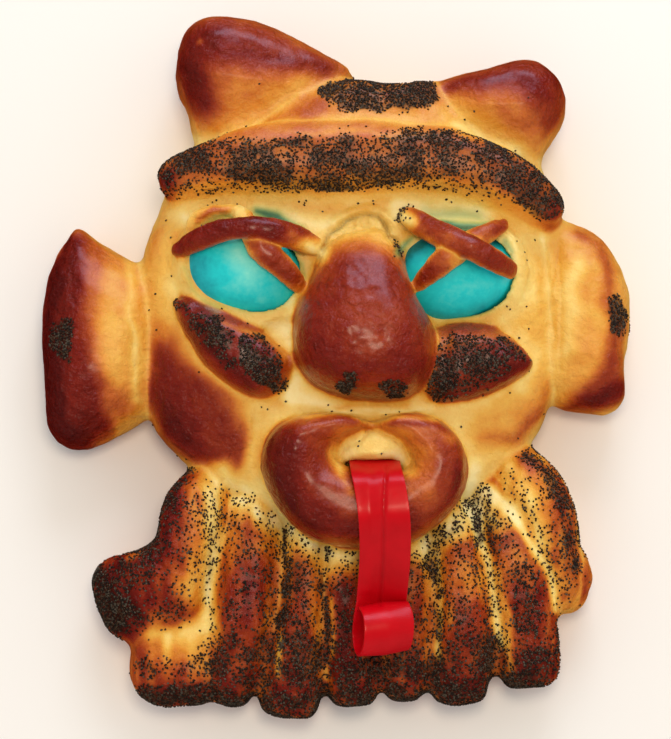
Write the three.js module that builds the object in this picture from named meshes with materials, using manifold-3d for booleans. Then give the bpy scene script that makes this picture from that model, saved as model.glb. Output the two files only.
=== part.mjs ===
// A festive challah shaped as a horned, bearded face and baked flat on a tray.
// Every lump of dough that was shaped by hand is a piece of its own, and so are the two dyed eggs
// that make the eyes and the red strip that makes the tongue.
//
// Millimetres, +Z up. The loaf lies on the tray at Z = 0, and the crown of the head points to +Y.
// Outlines are seen from above and run anticlockwise.

import * as THREE from "three";
import { mergeVertices } from "three/addons/utils/BufferGeometryUtils.js";
import Module from "manifold-3d";

const wasm = await Module();
wasm.setup();

// ---------------------------------------------------------------------------------------------
// Driving dimensions
// ---------------------------------------------------------------------------------------------

const GAP = 0.3;                 // clearance between neighbouring pieces
const BELLY = 15;                // height of the widest line of dough that stands on the tray
const FOOT_INSET = 5;            // how far the flat underside lies inside that widest line
const HEAD_TOP = 47;
const BROW_HEIGHT = 48;          // height of the middle of the brow roll
const EGG_LENGTH = 57;
const EGG_WIDTH = 43;
const EGG_HEIGHT = 39;           // height of the middle of an egg
const EGG_TAPER = 0.1;           // how much wider than its middle an egg is towards its blunt end
const SOCKET_SLACK = 1.2;        // how much wider than its egg a socket opens
const STRAND_RISE = 25;          // height of a strand of the beard above its widest line
const STRAND_TAIL = 20;          // the same at its lower end
const STRAND_FALL = 26;          // deep enough for the strand to be pressed flat on the tray
const STRIP_WIDTH = 9.6;         // the dough strips over the eyes
const STRIP_RISE = 4.2;          // half their thickness
const TONGUE_WIDTH = 21;
const TONGUE_THICKNESS = 1.3;
const TONGUE_CREASE = 0.9;       // depth of the crease along the tongue
const TONGUE_PEAK = 2.4;         // how far its middle is pushed up where it leaves the mouth
const TONGUE_PEAK_STEPS = 3;     // how soon that ends
const TONGUE_STEPS = 16;         // along the part that hangs
const CURL_RADIUS = 9.8;         // the rolled end of the tongue
const CURL_STEPS = 12;
const CURL_SWEEP = 305;          // degrees that the end is rolled round
const CURL_YAW = 0.12;           // radians that the rolled end is turned, seen from above
const KNEAD_DEPTH = 0.7;         // unevenness of hand-shaped dough
const KNEAD_LONG = [9.1, 10.7];  // millimetres to a radian of its broad waves, along X and Y
const KNEAD_SHORT = [4.3, 5.9, 6.1];   // and of its short waves, along X, Y and Z
const SEED_RADIUS = 0.75;        // a poppy seed
const SEED_SHAPE = [1.15, 0.9, 0.85];
const SEED_LIFT = 0.15;          // how many radii the middle of a seed lies above the dough
const SEED_SPACING = 15.5;         // between the seeds that are modelled one by one
const SEED_JITTER = 0.6;         // how far a seed may stray, in spacings
const SKY = 200;                 // a height above everything

// ---------------------------------------------------------------------------------------------
// Materials
// ---------------------------------------------------------------------------------------------

function finish(color, roughness) {
  return new THREE.MeshStandardMaterial({ color, roughness, metalness: 0 });
}

const PALE_DOUGH = finish(0xe3bd6b, 0.55);
const GOLDEN_CRUST = finish(0xc98638, 0.42);
const BROWN_CRUST = finish(0x8f3f1c, 0.32);
const DARK_CRUST = finish(0x7a2415, 0.28);
const SEEDED_CRUST = finish(0x6a4530, 0.6);
const DYED_EGG = finish(0x35b9b6, 0.4);
const RED_CANDY = finish(0xc30d1c, 0.3);

// ---------------------------------------------------------------------------------------------
// Meshes and solids
// ---------------------------------------------------------------------------------------------

function signedVolume(position, index) {
  const a = new THREE.Vector3();
  const b = new THREE.Vector3();
  const c = new THREE.Vector3();
  let volume = 0;
  for (let i = 0; i < index.length; i += 3) {
    a.fromBufferAttribute(position, index[i]);
    b.fromBufferAttribute(position, index[i + 1]);
    c.fromBufferAttribute(position, index[i + 2]);
    volume += a.dot(b.cross(c)) / 6;
  }
  return volume;
}

// Merges shared corners, drops triangles with no area and turns the faces outwards.
function weld(geometry) {
  geometry.deleteAttribute("normal");
  geometry.deleteAttribute("uv");
  const merged = mergeVertices(geometry, 1e-4);
  const index = [];
  const old = merged.index.array;
  for (let i = 0; i < old.length; i += 3) {
    const corners = [old[i], old[i + 1], old[i + 2]];
    if (new Set(corners).size === 3) index.push(...corners);
  }
  if (signedVolume(merged.attributes.position, index) < 0) index.reverse();
  merged.setIndex(index);
  return merged;
}

function solidOf(geometry) {
  const vertProperties = new Float32Array(geometry.attributes.position.array);
  const triVerts = new Uint32Array(geometry.index.array);
  return new wasm.Manifold(new wasm.Mesh({ numProp: 3, vertProperties, triVerts }));
}

function movedAlongNormals(geometry, distanceAt) {
  const moved = geometry.clone();
  moved.computeVertexNormals();
  const position = moved.attributes.position;
  const normal = moved.attributes.normal;
  const point = new THREE.Vector3();
  const direction = new THREE.Vector3();
  for (let i = 0; i < position.count; i += 1) {
    point.fromBufferAttribute(position, i);
    direction.fromBufferAttribute(normal, i);
    point.addScaledVector(direction, distanceAt(point));
    position.setXYZ(i, point.x, point.y, point.z);
  }
  moved.deleteAttribute("normal");
  return moved;
}

function grown(geometry, distance) {
  return solidOf(movedAlongNormals(geometry, () => distance));
}

// Hand-shaped dough is never quite regular. The flat underside stays flat.
function kneaded(geometry) {
  return movedAlongNormals(geometry, (p) => {
    if (p.z < 0.01) return 0;
    const long = Math.sin(p.x / KNEAD_LONG[0]) * Math.sin(p.y / KNEAD_LONG[1]);
    const short = Math.sin(p.x / KNEAD_SHORT[0] - p.y / KNEAD_SHORT[1] + p.z / KNEAD_SHORT[2]);
    return KNEAD_DEPTH * (0.7 * long + 0.3 * short);
  });
}

// The largest connected body of a cut piece. Cutting can leave loose scraps, which are dropped.
function largestBody(solid) {
  const mesh = solid.getMesh();
  const parent = Array.from({ length: mesh.vertProperties.length / 3 }, (_, i) => i);
  const root = (i) => {
    let top = i;
    while (parent[top] !== top) top = parent[top];
    parent[i] = top;
    return top;
  };
  const tri = mesh.triVerts;
  for (let i = 0; i < tri.length; i += 3) {
    parent[root(tri[i + 1])] = root(tri[i]);
    parent[root(tri[i + 2])] = root(tri[i]);
  }
  const bodies = new Map();
  for (let i = 0; i < tri.length; i += 3) {
    const key = root(tri[i]);
    if (!bodies.has(key)) bodies.set(key, []);
    bodies.get(key).push(tri[i], tri[i + 1], tri[i + 2]);
  }
  const index = [...bodies.values()].sort((a, b) => b.length - a.length)[0];
  const geometry = new THREE.BufferGeometry();
  geometry.setAttribute("position", new THREE.BufferAttribute(new Float32Array(mesh.vertProperties), 3));
  geometry.setIndex(index);
  return mergeVertices(geometry, 0);
}

// ---------------------------------------------------------------------------------------------
// Shapes of dough
// ---------------------------------------------------------------------------------------------

function closedCurve(points) {
  const corners = points.map(([x, y]) => new THREE.Vector3(x, y, 0));
  return new THREE.CatmullRomCurve3(corners, true, "centripetal");
}

// A pillow of dough over a closed outline: it stands on a flat underside at height `base`, is
// widest at `belly` and is domed up to `top` over its centre. `slope` tips the dome.
function pillow({ outline, centre, base = 0, belly = BELLY, top, slope = [0, 0], ...detail }) {
  const { around = 20, rings = 4, fullness = 2.5 } = detail;
  const profile = [new THREE.Vector2(0, base), new THREE.Vector2(1, base), new THREE.Vector2(1, belly)];
  for (let ring = 1; ring <= rings; ring += 1) {
    const lift = (ring / rings) * Math.PI / 2;
    const reach = ring === rings ? 0 : Math.cos(lift) ** (2 / fullness);
    profile.push(new THREE.Vector2(reach, belly + (top - belly) * Math.sin(lift) ** (2 / fullness)));
  }
  const geometry = new THREE.LatheGeometry(profile, around);
  const edge = closedCurve(outline);
  const position = geometry.attributes.position;
  const uv = geometry.attributes.uv;
  for (let i = 0; i < position.count; i += 1) {
    const reach = profile[Math.round(uv.getY(i) * (profile.length - 1))].x;
    const z = position.getY(i);
    const rim = edge.getPoint(uv.getX(i) % 1);
    const dx = rim.x - centre[0];
    const dy = rim.y - centre[1];
    const inset = z < belly ? FOOT_INSET * ((belly - z) / (belly - base)) ** 2 : 0;
    const scale = reach * (1 - inset / Math.hypot(dx, dy));
    const height = Math.max(0, (z - belly) / (top - belly));
    const tip = height * scale * (dx * slope[0] + dy * slope[1]);
    position.setXYZ(i, centre[0] + dx * scale, centre[1] + dy * scale, z + tip);
  }
  return kneaded(weld(geometry));
}

// A roll of dough along a spine. Each station is [x, y, z, half width, rise, fall], where rise and
// fall are the reach of the roll above and below its spine. Dough below the tray is pressed flat.
function roll({ stations, around = 10, along = 14, blunt = 3, fullness = 2.3 }) {
  const spine = new THREE.CatmullRomCurve3(stations.map((s) => new THREE.Vector3(s[0], s[1], s[2])));
  const girth = new THREE.CatmullRomCurve3(stations.map((s) => new THREE.Vector3(s[3], s[4], s[5])));
  const geometry = new THREE.SphereGeometry(1, around, along);
  const position = geometry.attributes.position;
  const unit = new THREE.Vector3();
  for (let i = 0; i < position.count; i += 1) {
    unit.fromBufferAttribute(position, i);
    const t = THREE.MathUtils.clamp((1 - unit.y) / 2, 0, 1);
    const ring = Math.hypot(unit.x, unit.z);
    const thickness = ring < 1e-6 ? 0 : ring ** (2 / blunt);
    const turn = Math.atan2(unit.z, unit.x);
    const across = Math.sign(Math.cos(turn)) * Math.abs(Math.cos(turn)) ** (2 / fullness);
    const upward = Math.sign(Math.sin(turn)) * Math.abs(Math.sin(turn)) ** (2 / fullness);
    const point = spine.getPoint(t);
    const tangent = spine.getTangent(t).setZ(0).normalize();
    const size = girth.getPoint(t);
    const side = across * size.x * thickness;
    const lift = upward * thickness * (upward > 0 ? size.y : size.z);
    const z = Math.max(0, point.z + lift);
    position.setXYZ(i, point.x - tangent.y * side, point.y + tangent.x * side, z);
  }
  return kneaded(weld(geometry));
}

// Distance from a centre to a closed outline in a given direction.
function outlineReach(outline, centre) {
  const samples = closedCurve(outline).getPoints(240).map((p) => {
    const dx = p.x - centre[0];
    const dy = p.y - centre[1];
    return { angle: Math.atan2(dy, dx), reach: Math.hypot(dx, dy) };
  });
  return (angle) => {
    const off = (s) => Math.abs(Math.atan2(Math.sin(s.angle - angle), Math.cos(s.angle - angle)));
    return samples.reduce((best, s) => (off(s) < off(best) ? s : best)).reach;
  };
}

// A ring of dough between an outer and an inner outline. `notch` is the direction in which the
// ends of the rope meet, where the ring is pinched down.
function ring({ outer, inner, centre, middle, rise, fall, notch, pinch, around = 26, section = 9 }) {
  const outerReach = outlineReach(outer, centre);
  const innerReach = outlineReach(inner, centre);
  const geometry = new THREE.TorusGeometry(2, 1, section, around);
  const position = geometry.attributes.position;
  const unit = new THREE.Vector3();
  for (let i = 0; i < position.count; i += 1) {
    unit.fromBufferAttribute(position, i);
    const angle = Math.atan2(unit.y, unit.x);
    const across = (Math.hypot(unit.x, unit.y) - 2 + 1) / 2;
    const reach = THREE.MathUtils.lerp(innerReach(angle), outerReach(angle), across);
    const fromNotch = Math.abs(Math.atan2(Math.sin(angle - notch), Math.cos(angle - notch)));
    const pinched = 1 - pinch * Math.exp(-((fromNotch / 0.3) ** 2));
    const lift = Math.sign(unit.z) * Math.abs(unit.z) ** 0.85;
    const z = middle + lift * (lift > 0 ? rise * pinched : fall);
    position.setXYZ(i, centre[0] + reach * Math.cos(angle), centre[1] + reach * Math.sin(angle), z);
  }
  return kneaded(weld(geometry));
}

// A whole egg lying on its side, blunter at one end.
function egg({ centre, heading }) {
  const geometry = new THREE.SphereGeometry(1, 16, 10);
  const position = geometry.attributes.position;
  for (let i = 0; i < position.count; i += 1) {
    const along = position.getY(i);
    const taper = 1 + EGG_TAPER * along;
    const width = (EGG_WIDTH / 2) * taper;
    position.setXYZ(i, along * EGG_LENGTH / 2, position.getX(i) * width, position.getZ(i) * width);
  }
  const lying = weld(geometry);
  lying.rotateZ(heading);
  lying.translate(centre[0], centre[1], centre[2]);
  return lying;
}

// ---------------------------------------------------------------------------------------------
// The pieces of the loaf, from the bottom up
// ---------------------------------------------------------------------------------------------

const EGG_SPOTS = {
  egg_left: { centre: [-39, 42, EGG_HEIGHT], heading: THREE.MathUtils.degToRad(-20) },
  egg_right: { centre: [51, 40, EGG_HEIGHT], heading: THREE.MathUtils.degToRad(8) },
};

function makeHead() {
  const outline = [
    [101, 21], [99, 43], [96, 64], [97, 84], [84, 104], [47, 118], [-16, 118], [-56, 108], [-71, 96],
    [-77, 80], [-85, 58], [-88, 39], [-88, 14], [-85, -11], [-71, -34], [-52, -49], [-30, -62],
    [0, -74], [28, -73], [50, -61], [68, -47], [84, -32], [94, -14],
  ];
  return pillow({ outline, centre: [9, 24], top: HEAD_TOP, around: 32, rings: 6, fullness: 3 });
}

function makeHornLeft() {
  const outline = [
    [9, 137], [-8, 148], [-27, 156.5], [-43, 160.5], [-59, 161], [-69, 154], [-72, 143], [-71, 130],
    [-65, 117], [-61, 102], [-38, 94], [-16, 104], [4, 124],
  ];
  return pillow({ outline, centre: [-44, 134], belly: 18, top: 52, slope: [-0.12, 0.1] });
}

function makeHornRight() {
  const outline = [
    [102, 116], [102.5, 128], [92, 140], [79, 140], [60, 135], [38, 128], [42, 112], [56, 100], [74, 92],
    [88, 92], [95, 104],
  ];
  return pillow({ outline, centre: [76, 119], belly: 18, top: 50, slope: [0.1, 0.05], around: 18 });
}

function makeCrown() {
  const outline = [
    [66, 101], [55, 116], [45, 130], [33, 129], [21, 129], [8, 132], [-10, 126], [-27, 116],
    [-44, 101], [-20, 92], [6, 90], [46, 92],
  ];
  return pillow({ outline, centre: [13, 111], belly: 20, top: 52, around: 18, fullness: 2.8 });
}

function makeEarLeft() {
  const outline = [
    [-115, 69], [-125, 50], [-129, 33], [-130, 12], [-127, -10], [-126, -24], [-119, -32],
    [-110, -33], [-99, -28], [-78, -16], [-74, 8], [-76, 38], [-88, 52], [-103, 60],
  ];
  return pillow({ outline, centre: [-104, 14], top: 42, fullness: 2.3 });
}

function makeEarRight() {
  const outline = [
    [91, -10], [106, -16], [121, -17], [127, -10], [126, 4], [129, 17], [130, 36], [125, 53],
    [117, 63], [106, 69], [92, 68], [86, 28],
  ];
  return pillow({ outline, centre: [108, 26], top: 40, fullness: 2.5 });
}

// A strand of the beard. Its spine is at `x` at its upper end, middle and lower end, where it is
// as wide as `halfWidth` says, and it reaches between the two values of `y`.
function makeStrand({ x, y, halfWidth }) {
  const rises = [STRAND_RISE - 1, STRAND_RISE, STRAND_TAIL];
  const depths = [y[0], (y[0] + y[1]) / 2, y[1]];
  const stations = rises.map((rise, i) => [x[i], depths[i], BELLY, halfWidth[i], rise, STRAND_FALL]);
  return roll({ stations, around: 10, along: 10, blunt: 5.5, fullness: 2.6 });
}

const STRANDS = {
  beard_strand_1: { x: [-36, -38, -46], y: [-50, -143], halfWidth: [14, 16.5, 11] },
  beard_strand_2: { x: [-13, -14, -21], y: [-58, -147.5], halfWidth: [9, 11, 17] },
  beard_strand_3: { x: [4, 4, 8.5], y: [-60, -143.5], halfWidth: [9, 11, 13.5] },
  beard_strand_4: { x: [27, 28.5, 29.5], y: [-58, -140.5], halfWidth: [13, 16, 11] },
  beard_strand_5: { x: [49, 54, 52.5], y: [-52, -142], halfWidth: [11, 14.5, 16] },
  beard_strand_6: { x: [68, 77.5, 84], y: [-44, -135], halfWidth: [13, 16.5, 16] },
};

// A short strand under the outer lobe, at the lower left of the beard.
function makeLowerStrand() {
  const outline = [
    [-50, -92], [-50, -138], [-56, -141], [-66, -142.5], [-77, -143], [-87, -135], [-88, -118], [-87, -100],
    [-70, -88],
  ];
  return pillow({ outline, centre: [-69, -118], top: 32, around: 16, fullness: 2.8 });
}

function makeLobeLeft() {
  const outline = [
    [-56, -38], [-70.5, -48], [-75, -60], [-76, -70], [-83, -76], [-97, -78], [-104, -84], [-105, -93],
    [-101, -103], [-96, -112], [-87, -118], [-66, -115], [-54, -102], [-48, -80], [-43, -56],
  ];
  return pillow({ outline, centre: [-71, -86], top: 42, slope: [0.12, 0.12], around: 24 });
}

function makeLobeRight() {
  const outline = [
    [70, -34], [66, -50], [78, -66], [87, -84], [92, -98], [99, -105], [104, -98], [105, -76],
    [104, -60], [100.5, -48], [92, -37], [80, -29],
  ];
  return pillow({ outline, centre: [87, -62], top: 40, slope: [-0.1, 0] });
}

// The end of the outer lobe shows as a small bare knob at its right.
function makeKnob() {
  const stations = [
    [100, -74, 13, 7, 13, 16],
    [103.5, -87, 13, 8, 14, 16],
    [99, -104, 13, 6.5, 12, 16],
  ];
  return roll({ stations, around: 10, along: 8, blunt: 2.6 });
}

function makeBrow() {
  const lift = BROW_HEIGHT;
  const stations = [
    [-76, 81, lift - 7, 11.5, 10, 26],
    [-56, 86, lift - 2, 11.5, 11, 15],
    [-36, 90, lift, 14, 11, 12],
    [-5, 90.5, lift, 14.5, 11, 12],
    [28, 91, lift, 13.5, 11, 12],
    [54, 88, lift - 1, 13, 11, 12],
    [77, 79, lift - 3, 12.5, 11, 17],
    [96.5, 66, lift - 9, 11, 10, 26],
  ];
  return roll({ stations, around: 10, along: 18, blunt: 5 });
}

function makeLips() {
  const outer = [
    [56, -44], [51, -31], [40, -23], [23, -23], [15, -26], [8, -23], [-7, -22], [-23, -25], [-30, -32],
    [-32, -44], [-27, -58], [-16, -70], [-1, -77], [13, -79], [29, -77], [44, -67], [53, -57],
  ];
  const inner = [[31, -43], [25, -34], [15, -30], [6, -33], [0, -40], [7, -45], [16, -47], [26, -46]];
  const notch = Math.PI / 2;
  return ring({ outer, inner, centre: [15, -39], middle: 48, rise: 21, fall: 22, notch, pinch: 0.35 });
}

// The pale fold of dough inside the mouth, above the tongue.
function makeUpperLip() {
  const stations = [
    [1.5, -41, 53, 4, 4, 9],
    [8, -37, 56, 5.6, 5, 10],
    [17, -35.5, 57, 6.2, 5, 10],
    [25, -37.5, 56, 5.4, 5, 10],
    [30.5, -44, 52, 3.8, 4, 9],
  ];
  return roll({ stations, along: 10, around: 7 });
}

function makeCheekLeft() {
  const outline = [
    [-18, 0], [-26, 10], [-39, 19], [-54, 26], [-70, 29], [-64, 13], [-55, 0], [-42, -11], [-31, -15],
    [-21, -10],
  ];
  return pillow({ outline, centre: [-40, 5], base: 34, belly: 44, top: 58, around: 20, fullness: 2.2 });
}

function makeCheekRight() {
  const outline = [
    [84, 1], [74, 12], [64, 16], [53, 18], [41, 15], [37, 1], [39, -15], [53, -16], [66, -12], [76, -6],
  ];
  return pillow({ outline, centre: [56, 1], base: 32, belly: 43, top: 58, around: 20, fullness: 2.2 });
}

function makeNose() {
  const outline = [
    [17, 58], [6, 56], [-3, 51], [-8, 40], [-14, 27], [-18, 18], [-16, 1], [-8, -10], [12, -16],
    [33, -14], [42, 1], [41, 16], [33, 31], [28, 46], [23, 55],
  ];
  const shape = { base: 38, belly: 50, top: 79, slope: [0, -0.16], rings: 5, fullness: 2.4 };
  return pillow({ outline, centre: [13, 14], ...shape });
}

function makeStrip({ spine, width = STRIP_WIDTH }) {
  const stations = spine.map((point) => [...point, width / 2, STRIP_RISE, STRIP_RISE]);
  return roll({ stations, around: 7, along: 11, blunt: 4, fullness: 2 });
}

const STRIPS = {
  lid_left: { spine: [[-62, 57, 50], [-57, 63.5, 52], [-49, 67, 53], [-40.5, 65.5, 53]], width: 7 },
  strip_left_under: {
    spine: [
      [-41.5, 71, 51], [-38, 59.5, 58], [-33.5, 49, 62], [-26.5, 42.8, 61], [-19.5, 37, 57.5],
      [-14.5, 31.5, 53],
    ],
  },
  strip_left_over: {
    spine: [
      [-69, 48, 50], [-55.5, 52, 61], [-37, 55.3, 67], [-22.5, 53.5, 63], [-13, 51, 56], [-5.5, 49.5, 51],
    ],
  },
  strip_right_under: {
    spine: [
      [74.5, 64.5, 50], [69, 58.5, 56], [60.5, 51.5, 61], [51.5, 46, 63], [43, 39.5, 62], [33, 30.5, 54],
    ],
  },
  strip_right_over: {
    spine: [
      [28.5, 66, 50], [37, 58, 58], [47.5, 50.5, 65], [58, 45, 68.5], [68, 40.5, 63], [76.5, 38.5, 54],
    ],
  },
};

// Each piece is cut to sit against all that come before it in this list.
const DOUGH = [
  ["head", makeHead, GOLDEN_CRUST],
  ["horn_left", makeHornLeft, BROWN_CRUST],
  ["horn_right", makeHornRight, BROWN_CRUST],
  ["crown", makeCrown, GOLDEN_CRUST],
  ["ear_left", makeEarLeft, BROWN_CRUST],
  ["ear_right", makeEarRight, GOLDEN_CRUST],
  ...Object.entries(STRANDS).map(([name, strand]) => [name, () => makeStrand(strand), SEEDED_CRUST]),
  ["beard_lobe_left", makeLobeLeft, SEEDED_CRUST],
  ["beard_lower_strand", makeLowerStrand, SEEDED_CRUST],
  ["beard_lobe_right", makeLobeRight, SEEDED_CRUST],
  ["beard_knob", makeKnob, GOLDEN_CRUST],
  ["brow", makeBrow, SEEDED_CRUST],
  ["lips", makeLips, DARK_CRUST],
  ["upper_lip", makeUpperLip, PALE_DOUGH],
  ["cheek_left", makeCheekLeft, SEEDED_CRUST],
  ["cheek_right", makeCheekRight, SEEDED_CRUST],
  ...Object.entries(STRIPS).map(([name, spine]) => [name, () => makeStrip(spine), BROWN_CRUST]),
  ["nose", makeNose, DARK_CRUST],
];

function overlaps(a, b) {
  return a.clone().expandByScalar(GAP).intersectsBox(b);
}

function boxOf(geometry) {
  return new THREE.Box3().setFromBufferAttribute(geometry.attributes.position);
}

// The eyes first, as the dough was pressed up round them, with a wider opening above each egg.
const pieces = new Map();
const cutters = [];
for (const [name, spot] of Object.entries(EGG_SPOTS)) {
  const shape = egg(spot);
  pieces.set(name, { geometry: shape, material: DYED_EGG });
  cutters.push({ box: boxOf(shape), solid: grown(shape, GAP) });
}

for (const [name, make, material] of DOUGH) {
  const blank = make();
  const box = boxOf(blank);
  let solid = solidOf(blank);
  for (const cutter of cutters) {
    if (overlaps(cutter.box, box)) solid = solid.subtract(cutter.solid);
  }
  if (name === "head") {
    for (const spot of Object.values(EGG_SPOTS)) {
      const socket = egg(spot).translate(0, SOCKET_SLACK, 2 * SOCKET_SLACK);
      solid = solid.subtract(grown(socket, SOCKET_SLACK));
    }
  }
  pieces.set(name, { geometry: largestBody(solid), material });
  cutters.push({ box, solid: grown(blank, GAP) });
}

// ---------------------------------------------------------------------------------------------
// The tongue: a strip that hangs from the mouth over the lower lip and is rolled up at its end
// ---------------------------------------------------------------------------------------------

const loaf = new THREE.Group();
for (const [name, piece] of pieces) {
  const mesh = new THREE.Mesh(piece.geometry, piece.material);
  mesh.name = name;
  loaf.add(mesh);
}
loaf.updateMatrixWorld(true);

const caster = new THREE.Raycaster();

// The first thing under a point seen from straight above.
function hitBelow(x, y, targets) {
  caster.set(new THREE.Vector3(x, y, SKY), new THREE.Vector3(0, 0, -1));
  return caster.intersectObjects(targets, false)[0];
}

function makeTongue() {
  const plan = new THREE.CatmullRomCurve3([
    [16, -38.5], [16.5, -46], [18, -54], [19.6, -65], [20.3, -77], [20, -88], [19, -100], [19.5, -111],
  ].map(([x, y]) => new THREE.Vector3(x, y, 0)));
  const support = loaf.children.filter((mesh) => mesh.name !== "upper_lip");
  const clearance = TONGUE_THICKNESS / 2 + TONGUE_CREASE + 2 * GAP;
  const path = [];
  for (let i = 0; i <= TONGUE_STEPS; i += 1) {
    const point = plan.getPoint(i / TONGUE_STEPS);
    const heights = [];
    for (const across of [-0.5, -0.25, 0, 0.25, 0.5]) {
      for (const ahead of [-2, 0, 2]) {
        const hit = hitBelow(point.x + across * TONGUE_WIDTH, point.y + ahead, support);
        heights.push(hit ? hit.point.z : 0);
      }
    }
    path.push(point.setZ(Math.max(...heights) + clearance));
  }
  // The strip is stiff, so it bridges the dips in what it lies on.
  const floors = path.map((p) => p.z);
  for (let pass = 0; pass < TONGUE_STEPS; pass += 1) {
    for (let i = 1; i < TONGUE_STEPS; i += 1) {
      path[i].z = Math.max(floors[i], (path[i - 1].z + path[i + 1].z) / 2);
    }
  }
  const end = path[TONGUE_STEPS].clone();
  for (let i = 1; i <= CURL_STEPS; i += 1) {
    const angle = (i / CURL_STEPS) * THREE.MathUtils.degToRad(CURL_SWEEP);
    const y = end.y - CURL_RADIUS * Math.sin(angle);
    path.push(new THREE.Vector3(end.x, y, end.z + CURL_RADIUS * (1 - Math.cos(angle))));
  }
  return ribbon(path);
}

// A flat strip along a path, creased along its middle.
function ribbon(path) {
  const geometry = new THREE.BoxGeometry(1, 1, path.length - 1, 2, 1, path.length - 1);
  const position = geometry.attributes.position;
  for (let i = 0; i < position.count; i += 1) {
    const step = Math.round(position.getZ(i) + (path.length - 1) / 2);
    const before = path[Math.max(0, step - 1)];
    const after = path[Math.min(path.length - 1, step + 1)];
    const forward = after.clone().sub(before).normalize();
    const yaw = CURL_YAW * Math.min(1, step / TONGUE_STEPS);
    const side = new THREE.Vector3(Math.cos(yaw), Math.sin(yaw), 0);
    const up = side.clone().cross(forward).negate().normalize();
    const across = position.getX(i);
    const peak = TONGUE_PEAK * Math.max(0, 1 - step / TONGUE_PEAK_STEPS);
    const dip = across === 0 ? peak - TONGUE_CREASE : 0;
    const point = path[step].clone();
    point.addScaledVector(side, across * TONGUE_WIDTH);
    point.addScaledVector(up, position.getY(i) * TONGUE_THICKNESS + dip);
    position.setXYZ(i, point.x, point.y, point.z);
  }
  return weld(geometry);
}

const tongue = new THREE.Mesh(makeTongue(), RED_CANDY);
tongue.name = "tongue";
loaf.add(tongue);

// The mouth is pressed in where the tongue leaves it.
const tongueCutter = grown(tongue.geometry, GAP);
for (const name of ["lips", "upper_lip"]) {
  const lip = loaf.getObjectByName(name);
  lip.geometry = largestBody(solidOf(lip.geometry).subtract(tongueCutter));
}

// ---------------------------------------------------------------------------------------------
// Poppy seeds, fused to the dough they were sprinkled on
// ---------------------------------------------------------------------------------------------

let drawState = 20240917;

// A seeded draw between 0 and 1.
function draw() {
  drawState = (Math.imul(drawState, 1664525) + 1013904223) >>> 0;
  return drawState / 2 ** 32;
}

// Where the seeds lie: over all of a piece, or in ovals of it given as [x, y, half width, half depth].
const SEED_PATCHES = [
  { node: "brow" },
  { node: "crown", ovals: [[18, 117, 30, 9]], spacing: 9 },
  { node: "cheek_left", spacing: 10 },
  { node: "cheek_right", spacing: 10 },
  { node: "nose", ovals: [[5, -8, 7, 5], [26, -9, 7, 5]], spacing: 5 },
  { node: "ear_left", ovals: [[-117, 14, 7, 10]], spacing: 7 },
  { node: "ear_right", ovals: [[121, 22, 5, 11]], spacing: 7 },
  { node: "beard_lobe_left" },
  { node: "beard_lower_strand" },
  { node: "beard_lobe_right" },
  ...Object.keys(STRANDS).map((node) => ({ node })),
];

function inOvals(x, y, ovals) {
  return !ovals || ovals.some(([cx, cy, a, b]) => ((x - cx) / a) ** 2 + ((y - cy) / b) ** 2 < 1);
}

// The surface under a seed, if all of the seed lies on this piece and on no steep side of it.
function seedBed(x, y, mesh) {
  const reach = 2 * SEED_RADIUS;
  const steps = [[0, 0], [reach, 0], [-reach, 0], [0, reach], [0, -reach]];
  const hits = steps.map(([dx, dy]) => hitBelow(x + dx, y + dy, loaf.children));
  if (hits.some((hit) => !hit || hit.object !== mesh)) return null;
  const level = hits.every((hit) => Math.abs(hit.point.z - hits[0].point.z) < reach);
  return level ? hits[0] : null;
}

function makeSeed(bed) {
  const seed = new THREE.IcosahedronGeometry(SEED_RADIUS, 0);
  seed.scale(...SEED_SHAPE);
  seed.rotateX(draw() * Math.PI);
  seed.rotateZ(draw() * Math.PI);
  const middle = bed.point.clone().addScaledVector(bed.face.normal, SEED_LIFT * SEED_RADIUS);
  seed.translate(middle.x, middle.y, middle.z);
  return solidOf(weld(seed));
}

function scatterSeeds({ node, ovals, spacing = SEED_SPACING }) {
  const mesh = loaf.getObjectByName(node);
  const box = boxOf(mesh.geometry);
  const seeds = [];
  for (let x = box.min.x; x < box.max.x; x += spacing) {
    for (let y = box.min.y; y < box.max.y; y += spacing) {
      const px = x + (0.5 + SEED_JITTER * (draw() - 0.5)) * spacing;
      const py = y + (0.5 + SEED_JITTER * (draw() - 0.5)) * spacing;
      const bed = inOvals(px, py, ovals) ? seedBed(px, py, mesh) : null;
      if (bed) seeds.push(makeSeed(bed));
    }
  }
  const seeded = seeds.reduce((solid, seed) => solid.add(seed), solidOf(mesh.geometry));
  return largestBody(seeded);
}

// All the beds are found before any seed is added, so each patch is laid on bare dough.
const seededPieces = SEED_PATCHES.map((patch) => [patch.node, scatterSeeds(patch)]);
for (const [node, geometry] of seededPieces) {
  loaf.getObjectByName(node).geometry = geometry;
}

// The origin is on the tray, under the middle of the loaf.
const whole = new THREE.Box3().setFromObject(loaf);
loaf.position.set(-(whole.min.x + whole.max.x) / 2, -(whole.min.y + whole.max.y) / 2, -whole.min.z);

export default loaf;
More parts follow.
